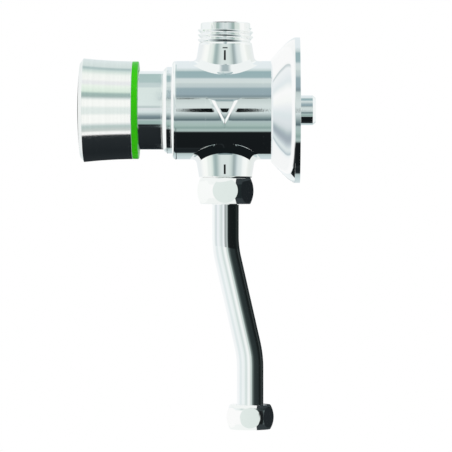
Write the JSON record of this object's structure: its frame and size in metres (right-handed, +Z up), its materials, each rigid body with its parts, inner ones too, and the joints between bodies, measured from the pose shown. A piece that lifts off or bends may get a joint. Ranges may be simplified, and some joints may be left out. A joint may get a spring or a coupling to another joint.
{
  "type": "urinal flush valve",
  "caption": "Self-closing urinal flush valve: push knob, round body with top inlet, wall rosette and stub, and a bent flush tube held by ball-shaped union nuts.",
  "frame": {"origin": "on the valve's level axis in the plane of the wall, at the stub that goes into the wall", "axes": "+X along the valve's axis into the wall, +Z up along the inlet, the knob on the -X side, the flow arrow on the -Y side"},
  "size_m": [0.0897, 0.055, 0.1536],
  "materials": {
    "chrome_body": "polished chrome over a brass casting",
    "chrome_rosette": "polished chrome on pressed and turned brass",
    "chrome_knob": "chrome over a finely turned surface",
    "green_ring": "glossy green plastic",
    "chrome_tube": "polished chrome tube",
    "chrome_nut": "polished chrome with ground flats",
    "plated_spigot": "plated, turned",
    "black_rubber": "matt rubber",
    "fibre_gasket": "red fibre",
    "white_acetal": "white acetal",
    "grey_plastic": "grey moulded plastic",
    "turned_brass": "turned brass",
    "stainless": "stainless steel"
  },
  "bodies": {
    "valve": {"valve_body": "chrome_body", "wall_spigot": "plated_spigot", "head_sleeve": "chrome_body", "head_o_ring": "black_rubber", "stem_o_ring": "black_rubber", "stem_bush": "white_acetal", "bush_circlip": "stainless", "cartridge_housing": "white_acetal", "housing_o_ring": "black_rubber", "seat_ring": "turned_brass", "inlet_strainer": "stainless", "upper_gasket": "fibre_gasket"},
    "rosette": {"wall_rosette": "chrome_rosette", "rosette_o_ring": "black_rubber"},
    "plunger": {"valve_stem": "stainless", "piston": "white_acetal", "lip_seal": "black_rubber", "stem_spacer": "turned_brass", "seat_washer": "black_rubber", "disc_holder": "turned_brass", "lock_nut": "turned_brass", "spring_cap": "white_acetal", "return_spring": "stainless", "knob_clip": "stainless"},
    "button": {"knob_shell": "chrome_knob", "knob_hub": "grey_plastic", "colour_ring": "green_ring"},
    "tube": {"flush_tube": "chrome_tube", "lower_gasket": "fibre_gasket"},
    "upper_slip": {"upper_slip_ring": "turned_brass"},
    "upper_nut": {"upper_union_nut": "chrome_nut"},
    "lower_slip": {"lower_slip_ring": "turned_brass"},
    "lower_nut": {"lower_union_nut": "chrome_nut"}
  },
  "joints": [
    {"name": "button_press", "type": "slide", "parent": "valve", "child": "plunger", "axis": [1, 0, 0], "range_m": [0, 0.006], "stiffness_N_per_m": 1200, "springref_m": -0.005, "deforming": ["return_spring"]},
    {"name": "button_turn", "type": "hinge", "parent": "plunger", "child": "button", "pos_m": [-0.072, 0, 0], "axis": [1, 0, 0], "continuous": true},
    {"name": "rosette_slide", "type": "slide", "parent": "valve", "child": "rosette", "axis": [-1, 0, 0], "range_m": [0, 0.0045]},
    {"name": "tube_swivel", "type": "hinge", "parent": "valve", "child": "tube", "pos_m": [-0.0281, 0, -0.032], "axis": [0, 0, 1], "continuous": true},
    {"name": "upper_nut_drop", "type": "slide", "parent": "tube", "child": "upper_slip", "axis": [0, 0, -1], "range_m": [0, 0.007]},
    {"name": "upper_nut_turn", "type": "hinge", "parent": "upper_slip", "child": "upper_nut", "pos_m": [-0.0281, 0, -0.0304], "axis": [0, 0, -1], "range_deg": [0, 1890]},
    {"name": "lower_nut_lift", "type": "slide", "parent": "tube", "child": "lower_slip", "axis": [0, 0, 1], "range_m": [0, 0.013]},
    {"name": "lower_nut_turn", "type": "hinge", "parent": "lower_slip", "child": "lower_nut", "pos_m": [-0.0188, 0, -0.1157], "axis": [0, 0, 1], "continuous": true}
  ],
  "couplings": [
    {"joint": "upper_nut_turn", "follows": "upper_nut_drop", "rad_per_m": 4699.5}
  ]
}
